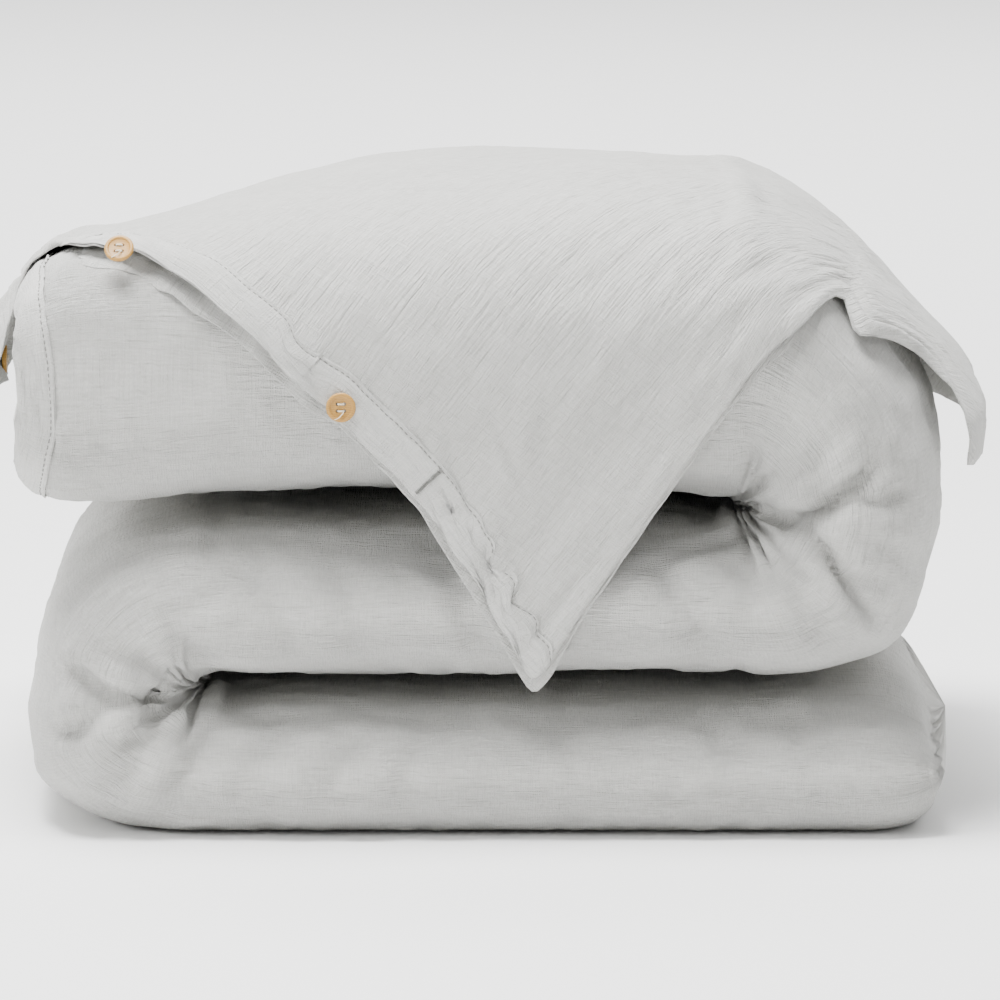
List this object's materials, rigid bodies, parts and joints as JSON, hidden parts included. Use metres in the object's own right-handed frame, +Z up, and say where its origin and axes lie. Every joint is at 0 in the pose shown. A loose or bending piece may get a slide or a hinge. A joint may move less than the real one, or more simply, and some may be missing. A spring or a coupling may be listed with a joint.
{
  "type": "folded duvet",
  "caption": "Filled comforter in a buttoned gauze duvet cover, folded in a zig-zag of thick layers, with one buttoned corner turned over the top and hanging down the front.",
  "frame": {"origin": "middle of the flat underside, on the surface that the folded duvet rests on", "axes": "+X to the right seen from the front, along the length of the folded layers; +Y to the back; +Z up"},
  "size_m": [0.6077, 0.5188, 0.3929],
  "materials": {
    "cover_gauze": "crinkled light grey double gauze cotton, matt",
    "hem_gauze": "the same gauze turned and topstitched as a hem, matt",
    "comforter_shell": "smooth off-white cotton over fibre filling",
    "button_wood": "turned pale yellow wood, satin",
    "sewing_thread": "cream twisted cotton thread"
  },
  "bodies": {
    "stack": {"cover_body": "cover_gauze", "buttonhole_band": "hem_gauze", "comforter_insert": "comforter_shell", "turned_back_top": "cover_gauze", "side_button_band": "hem_gauze", "corner_tie_1": "sewing_thread", "corner_tie_2": "sewing_thread", "insert_loop_1": "sewing_thread", "insert_loop_2": "sewing_thread"},
    "flap": {"corner_front_ply": "cover_gauze", "corner_back_ply": "cover_gauze", "corner_button_band": "hem_gauze", "corner_bar_tack": "sewing_thread"},
    "button_1_turn": {"button_1": "button_wood", "button_thread_1": "sewing_thread"},
    "button_2_turn": {"button_2": "button_wood", "button_thread_2": "sewing_thread"},
    "button_3_turn": {"button_3": "button_wood", "button_thread_3": "sewing_thread"},
    "button_4_turn": {"button_4": "button_wood", "button_thread_4": "sewing_thread"}
  },
  "joints": [
    {"name": "flap_lift", "type": "hinge", "parent": "stack", "child": "flap", "pos_m": [0, -0.195, 0.3865], "axis": [-1, 0, 0], "range_deg": [0, 110]},
    {"name": "button_1_twist", "type": "hinge", "parent": "flap", "child": "button_1_turn", "pos_m": [-0.22564, -0.23818, 0.36098], "axis": [-0.0874, -0.7902, 0.6066], "range_deg": [-30, 30], "stiffness_Nm_per_rad": 0.0002},
    {"name": "button_2_twist", "type": "hinge", "parent": "flap", "child": "button_2_turn", "pos_m": [-0.09178, -0.2606, 0.268], "axis": [0, -1, 0], "range_deg": [-30, 30], "stiffness_Nm_per_rad": 0.0002},
    {"name": "button_3_twist", "type": "hinge", "parent": "stack", "child": "button_3_turn", "pos_m": [-0.3039, -0.0775, 0.275], "axis": [-1, 0, 0], "range_deg": [-30, 30], "stiffness_Nm_per_rad": 0.0002},
    {"name": "button_4_twist", "type": "hinge", "parent": "stack", "child": "button_4_turn", "pos_m": [-0.3039, 0.0775, 0.275], "axis": [-1, 0, 0], "range_deg": [-30, 30], "stiffness_Nm_per_rad": 0.0002}
  ]
}
